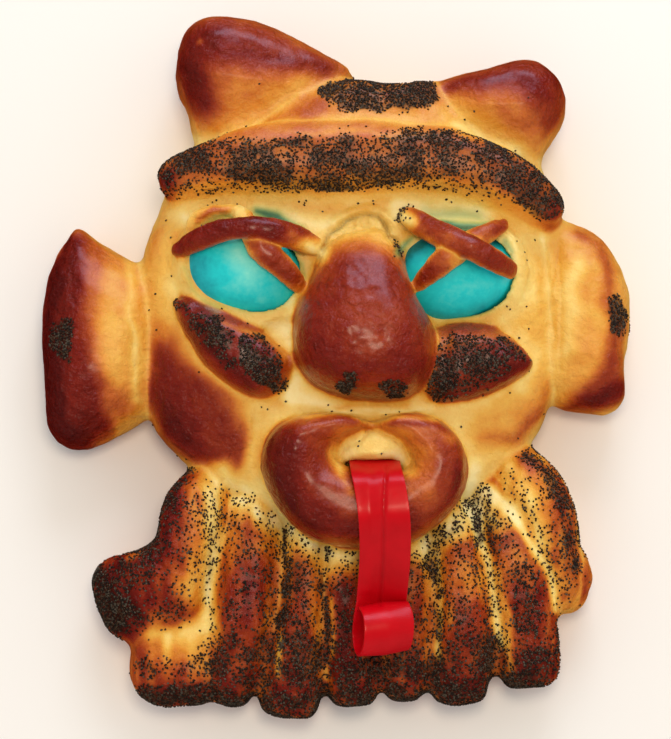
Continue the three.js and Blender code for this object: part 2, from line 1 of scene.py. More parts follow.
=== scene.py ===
"""The looks of a face-shaped challah: crust, poppy seeds, two dyed eggs and a red strip.

The separate lumps of dough in the frame become one baked surface. Each lump is smoothed and
turned into a distance field, in millimetres, and the fields melt into each other as dough does in
the oven. How brown the crust is, is painted on that surface.
"""
import math
import bpy
import bmesh
import numpy as np
import openvdb as vdb
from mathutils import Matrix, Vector


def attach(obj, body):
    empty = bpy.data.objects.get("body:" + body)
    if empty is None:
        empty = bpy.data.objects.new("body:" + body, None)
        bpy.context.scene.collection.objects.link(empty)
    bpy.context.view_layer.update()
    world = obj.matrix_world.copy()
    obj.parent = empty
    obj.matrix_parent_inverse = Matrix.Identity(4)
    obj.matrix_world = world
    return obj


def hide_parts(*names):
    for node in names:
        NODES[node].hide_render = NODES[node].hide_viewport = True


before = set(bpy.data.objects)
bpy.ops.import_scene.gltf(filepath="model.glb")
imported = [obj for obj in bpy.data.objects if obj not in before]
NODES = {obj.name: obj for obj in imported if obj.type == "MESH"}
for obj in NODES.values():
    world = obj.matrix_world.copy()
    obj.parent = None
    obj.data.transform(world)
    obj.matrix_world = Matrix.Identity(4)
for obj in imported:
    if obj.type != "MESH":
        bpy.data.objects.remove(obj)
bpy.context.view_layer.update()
MM = 0.001

# ---- Driving sizes, in millimetres

VOXEL = 0.9                 # grid of the distance field
BAND = 9                    # voxels of distance kept on each side of a surface
EGG_GAP = -0.4              # the dough reaches a little way into an egg, so no gap shows
LID_THICKNESS = 4.0         # dough pressed up round the eggs
EGG_RIM = {"egg_left": (51.0, 0.02), "egg_right": (50.0, 0.2)}   # its height, and slope along Y
STRIP_PLUMP = 0.9           # how much the strips over the eyes swelled
CLOSING = 1.6               # clefts narrower than twice this are filled
RELIEF_NEAR = 2             # voxels round a place that its height is averaged over
RELIEF_REACH = 7            # and those it is compared with
EGGS = ("egg_left", "egg_right")
TONGUE = "tongue"
STRIPS = ("lid_left", "strip_left_under", "strip_left_over", "strip_right_under", "strip_right_over")
CHEEKS = ("cheek_left", "cheek_right")
SHARP = STRIPS + ("upper_lip",) + CHEEKS
ROUND = ("lips", "nose", "head")
LAID_ON = ("upper_lip",) + STRIPS   # these join the rest after its clefts are filled
DOUGH = [name for name in NODES if name not in EGGS and name != TONGUE]

# What takes the facets of a lump away: the voxel it is cast in, and the rounds of smoothing.
CAST_SHARP = (1.2, 8)
CAST_ROUND = (2.6, 90)
CAST = (2.0, 35)
CAST_BAND = 3

# How softly each lump melts into the dough below it. A name stands for every node that starts with it.
MELT = {"head": 1.8, "horn": 5.0, "crown": 5.0, "ear": 6.0, "brow": 13.0, "lips": 5.0, "upper_lip": 3.5,
        "nose": 5.0, "cheek": 4.5, "lid": 3.5, "strip": 1.8, "beard": 3.0}
MELT_EGG_RIM = 4.0

# The camera looks down on the face as the photographer did.
PHOTO_SIZE = (671, 739)
PIXEL = 0.43                # millimetres to a pixel of the photograph
CAMERA_ELEVATION = math.radians(80)
CAMERA_DISTANCE = 800.0
TARGET = np.array([-0.2, -6.9, 35.0])
SENSOR = 36
FORWARD = np.array([0, math.cos(CAMERA_ELEVATION), -math.sin(CAMERA_ELEVATION)])
UP = np.array([0, math.sin(CAMERA_ELEVATION), math.cos(CAMERA_ELEVATION)])


# ---- Meshes and distance fields

def corners_of(mesh):
    """The corners of a mesh in millimetres."""
    points = np.zeros(len(mesh.vertices) * 3, np.float32)
    mesh.vertices.foreach_get("co", points)
    return points.reshape(-1, 3) / MM


def node_mesh(name):
    """Corners in millimetres and triangles of a CAD node."""
    mesh = NODES[name].data
    mesh.calc_loop_triangles()
    triangles = np.zeros(len(mesh.loop_triangles) * 3, np.int32)
    mesh.loop_triangles.foreach_get("vertices", triangles)
    return corners_of(mesh), triangles.reshape(-1, 3)


def placed(name, data):
    """A new object in the scene."""
    obj = bpy.data.objects.new(name, data)
    bpy.context.scene.collection.objects.link(obj)
    return obj


def put_attribute(mesh, name, values):
    """A number for each corner of a mesh, for its material to read."""
    layer = mesh.attributes.new(name, "FLOAT", "POINT")
    layer.data.foreach_set("value", values.astype(np.float32))


def level_set(points, faces, voxel=VOXEL, band=BAND):
    kind = "triangles" if faces.shape[1] == 3 else "quads"
    arguments = {kind: faces.astype(np.uint32), "halfWidth": band,
                 "transform": vdb.createLinearTransform(voxelSize=voxel)}
    return vdb.FloatGrid.createLevelSetFromPolygons(points.astype(np.float32), **arguments)


SHRINK, SWELL = 0.62, -0.64


def smoothed(points, quads, rounds):
    """Low-pass smoothing that takes the facets away and keeps the volume."""
    pairs = np.concatenate([quads[:, [0, 1]], quads[:, [1, 2]], quads[:, [2, 3]], quads[:, [3, 0]]])
    starts, ends = pairs[:, 0], pairs[:, 1]
    degree = np.maximum(np.bincount(starts, minlength=len(points)), 1)
    points = points.astype(float)
    for step in [SHRINK, SWELL] * rounds:
        for axis in range(3):
            column = points[:, axis]
            mean = np.bincount(starts, column[ends], len(points)) / degree
            points[:, axis] = column + step * (mean - column)
    return points


def blurred(plane, reach):
    """A flat array averaged four times over squares of this many cells to each side."""
    for axis in [0, 1] * 4:
        turned = np.moveaxis(plane, axis, 0)
        padded = np.pad(turned, ((reach + 1, reach), (0, 0)), mode="edge").cumsum(axis=0)
        plane = np.moveaxis((padded[2 * reach + 1:] - padded[:-2 * reach - 1]) / (2 * reach + 1), 0, axis)
    return plane


SETTLING = 0.6


def relaxed(points, quads, weight, rounds):
    """Smoothing that fills creases where the weight is above zero."""
    near = quads[(weight[quads] > 0).any(axis=1)]
    used, near = np.unique(near, return_inverse=True)
    near = near.reshape(-1, 4)
    one, other = near[:, [0, 1, 2, 3]].ravel(), near[:, [1, 2, 3, 0]].ravel()
    starts, ends = np.concatenate([one, other]), np.concatenate([other, one])
    degree = np.bincount(starts, minlength=len(used))
    part, share = points[used], weight[used]
    for _ in range(int(rounds)):
        for axis in range(3):
            column = part[:, axis]
            mean = np.bincount(starts, column[ends], len(used)) / degree
            part[:, axis] = column + SETTLING * share * (mean - column)
    points = points.copy()
    points[used] = part
    return points


class Grid:
    """The box of voxels round the whole loaf."""

    def __init__(self):
        margin = BAND + 1
        corners = np.concatenate([node_mesh(name)[0] for name in NODES])
        self.low = np.floor(corners.min(axis=0) / VOXEL).astype(int) - margin
        self.high = np.ceil(corners.max(axis=0) / VOXEL).astype(int) + margin
        self.shape = tuple(self.high - self.low + 1)

    def blank(self):
        return np.full(self.shape, BAND * VOXEL, np.float32)

    def field(self, level):
        """(window, distances) of a level set."""
        low, high = (np.array(corner) for corner in level.evalActiveVoxelBoundingBox())
        low = np.maximum(low, self.low)
        high = np.minimum(high, self.high)
        values = np.full(tuple(high - low + 1), BAND * VOXEL, np.float32)
        level.copyToArray(values, ijk=tuple(int(v) for v in low))
        return tuple(slice(a - b, c - b + 1) for a, b, c in zip(low, self.low, high)), values

    def surface(self, field, offset=0.0):
        """The quads where a field has the value of the offset."""
        level = vdb.FloatGrid(BAND * VOXEL)
        level.copyFromArray(np.ascontiguousarray(field), ijk=tuple(int(v) for v in self.low))
        level.transform = vdb.createLinearTransform(voxelSize=VOXEL)
        return level.convertToQuads(isovalue=offset)

    def relief(self, field):
        """How far the top of the dough stands above its surroundings, over the XY grid."""
        z, _ = self.heights()
        top = np.where(field < 0, z - field, 0).max(axis=2)
        return blurred(top, RELIEF_NEAR) - blurred(top, RELIEF_REACH)

    def heights(self):
        """The height of every voxel, and its place along Y, ready to be used with a field."""
        z = (np.arange(self.shape[2]) + self.low[2]) * VOXEL
        y = (np.arange(self.shape[1]) + self.low[1]) * VOXEL
        return z[None, None, :], y[None, :, None]


def between_corners(part, read):
    """Trilinear reading: read takes a corner's steps and returns its values for every place."""
    total = np.zeros(len(part))
    for corner in range(8):
        step = [(corner >> axis) & 1 for axis in range(3)]
        weight = np.ones(len(part))
        for axis in range(3):
            weight *= part[:, axis] if step[axis] else 1 - part[:, axis]
        total += weight * read(step)
    return total


def sampled(window, values, grid, points):
    """A windowed field at points in millimetres. Far outside it is BAND."""
    low = np.array([part.start for part in window]) + grid.low
    at = points / VOXEL - low
    top = np.array(values.shape) - 1.001
    inside = np.all((at >= 0) & (at <= top), axis=1)
    out = np.full(len(points), BAND * VOXEL, np.float32)
    at = at[inside]
    cell = at.astype(int)
    out[inside] = between_corners(at - cell, lambda step: values[tuple((cell + step).T)])
    return out


def distance_to(fields, grid, points):
    return np.min([sampled(*field, grid, points) for field in fields], axis=0)


def melt(under, over, softness):
    blend = np.clip(0.5 + 0.5 * (over - under) / softness, 0, 1)
    return over * (1 - blend) + under * blend - softness * blend * (1 - blend)


def value_for(table, name):
    """The value in a table for the first key that the name of a node starts with."""
    return next(value for start, value in table.items() if name.startswith(start))


def lump_field(name, grid):
    """The distance field of one node with its facets smoothed away."""
    voxel, rounds = CAST_SHARP if name in SHARP else CAST_ROUND if name in ROUND else CAST
    points, quads = level_set(*node_mesh(name), voxel, CAST_BAND).convertToQuads(isovalue=0.0)
    points = smoothed(points, quads, rounds)
    window, values = grid.field(level_set(points, quads))
    return window, values - (STRIP_PLUMP if name in STRIPS else 0)


def make_fields(grid):
    """The distance field of all the dough, and the fields of each lump and each egg."""
    lumps = {name: [lump_field(name, grid)] for name in DOUGH}
    eggs = {name: lump_field(name, grid) for name in EGGS}
    z, y = grid.heights()
    whole = grid.blank()
    for name in DOUGH:
        if name not in LAID_ON:
            window, values = lumps[name][0]
            whole[window] = melt(whole[window], values, value_for(MELT, name))
    for name, (window, values) in eggs.items():
        middle = 0.5 * (window[1].start + window[1].stop) * VOXEL + grid.low[1] * VOXEL
        height, slope = EGG_RIM[name]
        rim = height + slope * (y[:, window[1]] - middle)
        shell = np.abs(values - LID_THICKNESS / 2) - LID_THICKNESS / 2
        lid = np.maximum(shell, z[:, :, window[2]] - rim)
        whole[window] = melt(whole[window], lid, MELT_EGG_RIM)
        lumps["head"].append((window, lid))
    points, quads = grid.surface(whole, CLOSING)
    window, values = grid.field(level_set(points, quads))
    closed = grid.blank()
    closed[window] = values + CLOSING
    for name in LAID_ON:
        window, values = lumps[name][0]
        closed[window] = melt(closed[window], values, value_for(MELT, name))
    for window, values in eggs.values():
        closed[window] = np.maximum(closed[window], EGG_GAP - values)
    return np.maximum(closed, -z), lumps, eggs


def make_mesh(name, points, faces):
    """A smooth-shaded mesh object from corners in millimetres."""
    mesh = bpy.data.meshes.new(name)
    mesh.from_pydata((points * MM).tolist(), [], faces.tolist())
    mesh.validate()
    mesh.shade_smooth()
    return placed(name, mesh)


def crossed(points, quads):
    """The normal of each quad, twice as long as its area is large."""
    return np.cross(points[quads[:, 2]] - points[quads[:, 0]], points[quads[:, 3]] - points[quads[:, 1]])


def normals_of(points, quads):
    """The normal at each corner."""
    face = crossed(points, quads)
    out = np.zeros_like(points)
    for axis in range(3):
        for corner in range(4):
            out[:, axis] += np.bincount(quads[:, corner], face[:, axis], len(points))
    return out / np.maximum(np.linalg.norm(out, axis=1), 1e-9)[:, None]


# ---- Noise and strokes

LATTICE_SIZE = 24
LATTICE = np.random.RandomState(11).rand(LATTICE_SIZE, LATTICE_SIZE, LATTICE_SIZE)
LATTICE_START = 37.3


def noise(points, size, shift=0.0):
    """Smooth noise from -1 to 1 with lumps of the given size."""
    at = points / size + LATTICE_START + shift
    cell = np.floor(at).astype(int)
    part = at - cell
    part = part * part * (3 - 2 * part)
    return 2 * between_corners(part, lambda step: LATTICE[tuple(((cell + step) % LATTICE_SIZE).T)]) - 1


def bumps(points, *layers):
    """Noise added up: each layer has its height, the size of its lumps and its shift."""
    return sum(height * noise(points, size, shift) for height, size, shift in layers)


def smoothstep(value):
    value = np.clip(value, 0, 1)
    return value * value * (3 - 2 * value)


WANDER = 5                  # pixels of the photograph


def seen(points):
    """Where points of the loaf appear in the picture, in pixels of the photograph."""
    offset = points - (TARGET - FORWARD * CAMERA_DISTANCE)
    depth = offset @ FORWARD
    focal = CAMERA_DISTANCE / PIXEL
    x = PHOTO_SIZE[0] / 2 + offset[:, 0] / depth * focal
    y = PHOTO_SIZE[1] / 2 - (offset @ UP) / depth * focal
    return np.stack([x, y], axis=1)


def wandering(points, size, *shifts):
    """Where points appear in the picture, moved a little by noise, which makes a stroke's edge uneven."""
    return seen(points) + WANDER * np.stack([noise(points, size, shift) for shift in shifts], axis=1)


def strokes(text):
    """A table of brush strokes. Each has its numbers, a colon and its chain of discs, x,y,radius each,
    in pixels of the photograph. A line with a name is the node that the strokes below it are on."""
    table, node = [], []
    for line in text.strip().splitlines():
        if line.startswith("#"):
            continue
        numbers, colon, chain = line.rpartition(":")
        if colon:
            table.append((*node, *map(float, numbers.split()), chain))
        elif "," in line:
            table[-1] = (*table[-1][:-1], table[-1][-1] + chain)
        else:
            node = ["" if line == "any" else line]
    return table


def stroke(at, chain, soft):
    """How far each place lies in a brush stroke, which is a chain of discs with a soft edge."""
    discs = [[float(number) for number in disc.split(",")] for disc in chain.split()]
    reach = np.full(len(at), -1e9)
    for (x0, y0, r0), (x1, y1, r1) in zip(discs, discs[1:] or discs):
        length = max((x1 - x0) ** 2 + (y1 - y0) ** 2, 1e-6)
        along = ((at[:, 0] - x0) * (x1 - x0) + (at[:, 1] - y0) * (y1 - y0)) / length
        along = np.clip(along, 0, 1)
        distance = np.hypot(at[:, 0] - x0 - along * (x1 - x0), at[:, 1] - y0 - along * (y1 - y0))
        reach = np.maximum(reach, r0 + along * (r1 - r0) - distance)
    return smoothstep(0.5 + reach / soft)


def painted(value, at, owner, table):
    """A value painted over by strokes, as far as each place is part of the nodes they are on."""
    for prefix, tone, strength, soft, chain in table:
        share = sum(weight for name, weight in owner.items() if name.startswith(prefix))
        mask = share * strength * stroke(at, chain, soft)
        value = value * (1 - mask) + tone * mask
    return value


# ---- How brown the crust is, with a few strokes of painted shade and one painted highlight: 0 is pale dough, 1 is the darkest crust

BROWNING = {
    "head": 0.24, "horn": 0.5, "crown": 0.42, "ear_left": 0.42, "ear_right": 0.3, "brow": 0.47,
    "lips": 0.72, "upper_lip": 0.1, "cheek_left": 0.76, "cheek_right": 0.7, "nose": 0.74, "lid_left": 0.24,
    "strip_left_under": 0.6, "strip_left_over": 0.76, "strip_right_under": 0.54, "strip_right_over": 0.66,
    "beard_strand": 0.66, "beard_lobe_left": 0.72, "beard_lower_strand": 0.6, "beard_lobe_right": 0.46,
    "beard_knob": 0.62,
}
SEAM_NARROW = 1.1           # how far pale dough shows on each side of a seam, in millimetres
SEAM_BROAD = 2.0
CRISP = STRIPS + CHEEKS + ("lips", "nose")      # lumps with narrow seams
PALE_SEAM = 0.15
OWNER_REACH = 0.9           # millimetres over which the colour of one lump turns into the next one's
RAISED_FULL = 5             # a place this high above its surroundings browns most
STAIN_REACH = 1.1           # how far the dye of an egg creeps into the dough

# Browning, strength and softness of the strokes, which are painted in this order. A few of them are
# painted shade or a painted highlight, each marked.
# below the nose, darker as painted shade, and the edge of the right cheek
# painted highlight: the middle of the nose lighter
# painted shade beside the left egg, between its lid and its strip
# painted shade: the bottom of the nose darker
# painted shade: the left side and the bottom of the lips darker
PAINT = strokes("""
# the forehead, the cheeks and the chin
head
.36 .9 16: 250,204,3 330,206,5 410,198,3 520,232,4
.06 .9 22: 180,214,6 208,232,6 262,212,4 318,226,7 352,222,6
.06 .95 22: 400,212,8 440,214,12 480,216,12 512,240,9 520,290,12 505,318,8
.06 .95 20: 180,262,8 178,288,8 215,308,6 262,322,7 292,332,8
.42 .85 24: 152,232,5 146,280,8 156,322,10
.82 .95 46: 158,345,14 172,385,32 205,415,34 238,446,20
.88 .95 34: 164,362,8 160,400,16 174,434,16 198,452,16 224,462,6
.56 .7 24: 146,320,6 156,334,6 172,342,6
.34 .9 14: 176,318,1 204,362,2 236,394,3 280,404,5
.42 .7 12: 176,238,5 186,236,4
.24 .8 14: 258,410,6 254,440,5 246,470,8
.05 .95 18: 296,300,8 292,345,4 290,396,8 330,406,3
.3 .7 12: 300,410,6 370,408,5 440,410,6
.1 .9 10: 300,417,3 345,411,3 400,413,3 430,410,3
.34 .9 34: 540,330,6 542,365,14 522,402,18 480,425,12
.58 .85 22: 552,385,6 544,415,9 515,436,8 486,440,4
.2 .85 14: 470,322,5 520,334,5 538,356,4 505,385,4 450,408,5
.04 .95 10: 544,234,4 550,262,3 554,300,3
.34 .7 10: 538,260,3 542,310,4
.08 .9 18: 222,468,8 258,512,8 300,540,8 360,556,8
.08 .9 18: 476,470,8 466,500,8 430,540,8
# the horns and the crown
horn_left
.8 .95 36: 184,66,14 194,44,18 225,44,22 270,54,14 326,70,6
.86 .95 34: 190,70,16 192,92,14 204,108,6
.34 .9 30: 336,88,2 300,112,6 258,128,8 206,134,8
.1 .95 16: 322,98,1 280,124,4 236,142,6 205,146,8 190,138,4
.36 .9 22: 306,82,6 284,92,8 262,106,4
.4 .8 8: 201,44,3
horn_right
.76 .95 28: 436,92,3 470,84,8 510,74,12 546,84,16
.74 .9 26: 552,100,12 551,122,8
.32 .9 28: 450,112,6 485,124,10 520,146,9 540,158,6
.08 .95 16: 446,120,3 480,138,6 515,154,8 535,166,5
crown
.6 .9 16: 262,126,3 298,112,8 318,106,8
.34 .9 12: 320,122,5 380,120,6 440,116,7
.16 .95 10: 236,140,4 300,128,4 380,130,6 450,128,6 492,146,6
# the brow: pinkish brown along its top, fading into the forehead below
brow
.86 .9 18: 166,180,10 170,204,4
.74 .8 16: 556,206,8 548,226,6
.4 .9 14: 182,196,4 212,186,4 268,194,6 320,198,6 365,196,6 410,188,6 470,188,7 515,206,5
.26 .95 12: 182,210,6 212,202,6 268,208,6 320,210,5 365,208,5 410,200,6 470,202,7 512,222,6
.36 .7 8: 280,132,2 360,132,3 440,134,3
# the nose
nose
.5 .9 22: 318,272,1 336,250,8 365,246,9 394,250,8 412,276,1
.2 .95 18: 334,238,7 365,232,9 394,239,7
any
.2 .9 12: 326,240,5 345,222,7 370,216,7 392,232,6
nose
.64 .7 44: 372,322,14 372,345,14
.8 .8 34: 318,340,12 322,372,10 350,388,10
.66 .6 30: 412,345,12 395,310,10
.42 .9 10: 306,286,3 300,304,3
.92 .9 16: 302,326,4 300,352,6 308,380,6 330,390,6
.88 .8 20: 350,390,7 380,394,7 410,386,6 428,366,6
# the mouth
lips
.9 .95 44: 276,445,12 276,480,12 292,508,6
.76 .8 30: 330,525,12 380,542,8 430,522,8
.62 .8 26: 335,475,8 348,505,10
.46 .85 32: 425,450,16 428,500,12
.7 .8 16: 464,470,4 454,502,5
.5 .9 18: 284,420,4 310,424,7 340,432,8 362,427,3
.46 .9 16: 378,424,3 402,430,6 424,440,6
.3 .9 8: 276,420,2 300,414,3 350,416,3 372,424,2 395,416,3 436,418,3
.2 .95 14: 338,452,6 344,470,4
.36 .9 14: 346,480,3 351,496,2
.97 .9 20: 268,440,5 264,466,7 270,496,8 290,520,8 320,538,6
.6 .85 14: 300,430,5 318,442,5
.42 .85 16: 404,430,5 428,428,5 450,440,6
.58 .85 16: 450,458,5 448,482,6
.84 .85 14: 466,464,4 460,494,5 440,520,4
.22 .95 12: 372,438,5 396,446,5 406,462,5 412,474,4
.42 .9 26: 404,456,5 412,480,7 414,498,4
upper_lip
.3 .8 8: 356,458,2 376,457,3 392,455,2
# below the nose, and the edge of the right cheek
head
.5 .8 10: 340,407,2 375,407,3 410,407,2
.12 .85 16: 530,366,6 524,388,5
# the leaves beside the nose, orange above and dark below
cheek_left
.42 .9 16: 218,316,3 244,329,6 264,338,5 284,356,4
.95 .9 16: 184,326,5 204,348,7 226,366,7 250,386,6
cheek_right
.5 .85 18: 440,346,6 470,338,8 500,338,6
.92 .9 18: 532,360,5 506,380,7 470,396,7 440,398,6
# the ears
ear_left
.97 .9 16: 70,240,5 52,290,8 44,340,9 46,390,9 54,436,12 80,448,8
.97 .95 40: 56,280,6 50,340,14 58,425,18 90,436,14
.58 .7 20: 96,250,5 96,300,6 98,380,8 122,412,10
.84 .9 22: 79,240,7 74,262,10 72,300,14 74,345,16 78,385,17 92,420,16 106,430,8
.26 .9 26: 112,275,8 114,340,15 120,372,12
.1 .85 14: 128,262,3 134,330,4 138,400,3
ear_right
.86 .95 24: 566,406,6 592,400,13 616,392,13
.66 .9 20: 618,330,3 612,372,10 590,384,6
.52 .9 16: 578,232,4 604,246,6 612,270,6 606,300,6 618,330,5
.12 .9 18: 574,262,7 570,310,8 566,350,6
.34 .7 12: 592,320,5 584,362,6
# the beard: pale at the top, brown in the middle and dark at the bottom
beard_strand
.5 .9 30: 240,540,10 290,560,10 345,575,10
.5 .9 34: 420,580,14 465,580,16 515,560,12
beard_strand_5
.44 .8 20: 468,560,8 466,610,8
beard_strand
.1 .95 26: 222,490,12 270,516,12 322,550,11 352,560,8
.1 .95 26: 415,552,10 450,528,12 482,505,16 500,520,8
beard_strand_1
.44 .8 18: 232,512,6 250,522,6
beard_strand
.74 .8 44: 230,690,22 350,694,22 450,694,22 540,676,22
.5 .7 14: 262,680,4 262,696,4
.52 .7 12: 400,640,3 402,680,3
beard_strand_2
.5 .8 24: 312,580,6 318,640,8
beard_strand_3
.95 .9 24: 342,595,8 345,660,14
beard_strand_1
.86 .8 26: 246,574,8 244,620,8
beard_strand_2
.74 .8 20: 304,590,5 306,640,6
beard_strand_5
.5 .7 22: 455,560,8 450,620,6
beard_strand_6
.34 .9 12: 500,575,3 506,620,4 508,668,4
.8 .7 26: 532,600,10 536,660,14
beard_lobe_left
.94 .95 34: 103,582,10 116,616,16 140,600,8
.86 .9 26: 178,478,8 168,510,12 158,548,14 122,565,8
.46 .9 22: 198,490,8 190,545,9 186,588,11
.46 .8 8: 128,557,4 142,552,3
beard_lower_strand
.5 .8 16: 150,658,8 200,656,10
.86 .85 24: 145,700,8 205,700,12
beard
.34 .85 26: 208,470,14 205,530,14 200,590,14
.3 .8 24: 150,640,10 180,640,14 203,632,14
.06 .95 16: 216,470,8 213,530,8 209,590,5 205,626,6
.14 .8 18: 150,636,3 178,632,7 203,622,7
.08 .95 9: 478,512,6 487,555,5 496,610,5 499,645,3
.14 .8 6: 437,552,3 437,600,3 440,660,2
.24 .7 8: 332,600,1 334,650,2 330,680,1
.26 .7 8: 280,640,2 276,672,3
.05 .95 10: 490,488,8 512,510,7 533,540,5 548,565,4 557,610,3
beard_lobe_right
.12 .85 22: 506,462,8 530,500,8 546,540,5
.6 .8 18: 556,470,5 573,520,7 573,580,5
.42 .6 16: 545,500,6 556,560,6
# the strips over the eyes
lid_left
.54 .95 7: 197,222,2 212,209,4 236,208,3
strip_left_over
.5 .9 14: 292,236,6 302,244,5
any
.06 .95 14: 312,244,8 322,252,8
strip_left_over
.56 .8 7: 290,229,1 268,221,2
strip_left_under
.08 .95 14: 236,198,9 242,218,8
.46 .9 12: 246,244,5 258,249,4
.66 .8 14: 276,264,4 292,280,4
.5 .8 8: 302,290,4
any
.06 .95 14: 398,210,8 408,218,8
strip_right_over
.5 .9 12: 423,227,5
.52 .7 12: 436,234,5 470,248,5
strip_right_under
.34 .95 10: 478,238,4 452,262,6
.66 .9 10: 508,222,4 494,230,4
.2 .9 8: 514,214,5 500,213,3
.7 .95 12: 430,273,6 414,287,6
""")

# The green of the eggs' dye on the dough, with painted shade where it is darkest beside the strips:
# strength and softness.
# painted shade: the dark green recess above the right strips
EGG_DYE_AND_SHADE_STROKES = strokes("""
.95 10: 256,213,4 276,218,7 298,230,4
.7 6: 200,224,2 210,221,3
.55 12: 184,268,2 190,290,2 215,306,2
.6 22: 430,212,7 455,213,10 478,216,8
.95 16: 424,220,3 440,224,6 458,230,8 476,229,6 490,223,3
.8 10: 403,250,5 412,240,4
.6 8: 300,262,3 303,278,2
.7 10: 502,240,4 508,252,3
""")


def paint(points, normals, lumps, eggs, relief, grid):
    """The browning with its painted shade and highlight, the eggs' dye on the dough with its painted
    shade, of every corner of the loaf, and how far it is part of the beard.
    """
    names = list(lumps)
    distances = np.stack([distance_to(lumps[name], grid, points) for name in names])
    order = np.sort(distances, axis=0)
    apart = np.maximum(order[1] - order[0], 0)
    weights = np.exp(-(distances - order[0]) / OWNER_REACH)
    weights /= weights.sum(axis=0)
    owner = dict(zip(names, weights))
    browning_and_painted_light = sum(weight * value_for(BROWNING, name) for name, weight in owner.items())
    at = wandering(points, 11, 3.1, 8.7)
    cell = np.round(points[:, :2] / VOXEL).astype(int) - grid.low[:2]
    raised = np.clip(relief[cell[:, 0], cell[:, 1]] / RAISED_FULL, -1, 1) * smoothstep(normals[:, 2] / 0.5)
    browning_and_painted_light = painted(browning_and_painted_light, at, owner, PAINT)
    beard = sum(weight for name, weight in owner.items() if name.startswith("beard"))
    browning_and_painted_light += bumps(points, (0.04, 14, 1.7), (0.03, 5, 5.2)) + 0.1 * raised
    browning_and_painted_light += 0.14 * beard * noise(points * (1, 0.3, 1), 3.4, 4.6)
    browning_and_painted_light += 0.12 * (normals[:, 2] - 0.75) * smoothstep((browning_and_painted_light - 0.15) / 0.4)
    strips = np.clip(sum(owner[name] for name in STRIPS), 0, 1)
    crisp = np.clip(sum(owner[name] for name in CRISP), 0, 1)
    uneven = 0.5 + 0.4 * noise(points, 8, 6.4) + 0.25 * strips
    seam = uneven * np.exp(-apart / SEAM_NARROW) * crisp + 0.55 * np.exp(-apart / SEAM_BROAD) * (1 - crisp)
    seam *= smoothstep(1.7 - 1.2 * browning_and_painted_light)
    seam *= 1 - 0.75 * beard * smoothstep((at[:, 1] - 580) / 70)
    browning_and_painted_light = browning_and_painted_light * (1 - seam) + PALE_SEAM * seam
    # the eggs' dye on the dough, with painted shade in the recesses beside the strips
    egg = distance_to(eggs.values(), grid, points)
    egg_dye_and_shade = 0.8 * np.exp(-np.maximum(egg - EGG_GAP, 0) / STAIN_REACH)
    for strength, soft, chain in EGG_DYE_AND_SHADE_STROKES:
        egg_dye_and_shade = np.maximum(egg_dye_and_shade, strength * stroke(at, chain, soft))
    egg_dye_and_shade *= 1 - strips
    return np.clip(browning_and_painted_light, 0, 1), np.clip(egg_dye_and_shade, 0, 1), beard


# ---- Materials

def linear(red, green, blue):
    """A colour given as seen on a screen, from 0 to 255."""
    parts = [value / 255 for value in (red, green, blue)]
    return tuple(p / 12.92 if p <= 0.04045 else ((p + 0.055) / 1.055) ** 2.4 for p in parts) + (1.0,)


def grey(value):
    return (value, value, value, 1.0)


class Shader:
    """The node tree of a new material, or of another owner, built node by node."""

    def __init__(self, name, owners=None):
        owners = bpy.data.materials if owners is None else owners
        self.owner = owners.new(name)
        self.owner.use_nodes = True
        self.tree = self.owner.node_tree

    def node(self, kind, inputs=(), **settings):
        node = self.tree.nodes.new(kind)
        for key, value in settings.items():
            setattr(node, key, value)
        for socket, value in dict(inputs).items():
            self.put(node.inputs[socket], value)
        return node

    def put(self, socket, value):
        if isinstance(value, bpy.types.NodeSocket):
            self.tree.links.new(value, socket)
        else:
            socket.default_value = value

    def math(self, operation, a, b=0.0):
        return self.node("ShaderNodeMath", {0: a, 1: b}, operation=operation).outputs[0]

    def swing(self, value, amount):
        """A value from 0 to 1, made to swing about zero."""
        return self.math("MULTIPLY", self.math("SUBTRACT", value, 0.5), amount)

    def mix(self, factor, a, b):
        """Two colours mixed. Sockets 6 and 7 are the node's colours."""
        return self.node("ShaderNodeMix", {0: factor, 6: a, 7: b}, data_type="RGBA").outputs[2]

    def noise(self, scale, detail=3.0, roughness=0.5, distortion=0.0):
        place = self.node("ShaderNodeTexCoord").outputs["Object"]
        inputs = {"Vector": place, "Scale": scale, "Detail": detail, "Roughness": roughness,
                  "Distortion": distortion}
        return self.node("ShaderNodeTexNoise", inputs).outputs["Fac"]

    def attribute(self, name):
        return self.node("ShaderNodeAttribute", attribute_name=name).outputs["Fac"]

    def ramp(self, factor, stops):
        node = self.node("ShaderNodeValToRGB", {"Fac": factor})
        elements = node.color_ramp.elements
        while len(elements) < len(stops):
            elements.new(0.5)
        for element, (position, colour) in zip(elements, stops):
            element.position = position
            element.color = colour
        return node.outputs["Color"]

    def bump(self, height, strength, distance):
        inputs = {"Height": height, "Strength": strength, "Distance": distance}
        return self.node("ShaderNodeBump", inputs).outputs["Normal"]

    def finish(self, last="Principled BSDF", **sockets):
        for name, value in sockets.items():
            self.put(self.tree.nodes[last].inputs[name.replace("_", " ")], value)
        return self.owner


CRUST_TONES = [
    (0.0, linear(250, 234, 168)), (0.12, linear(241, 211, 120)), (0.26, linear(231, 178, 72)),
    (0.42, linear(218, 140, 38)), (0.56, linear(190, 94, 18)), (0.7, linear(152, 52, 11)),
    (0.84, linear(120, 23, 8)), (1.0, linear(82, 10, 6)),
]


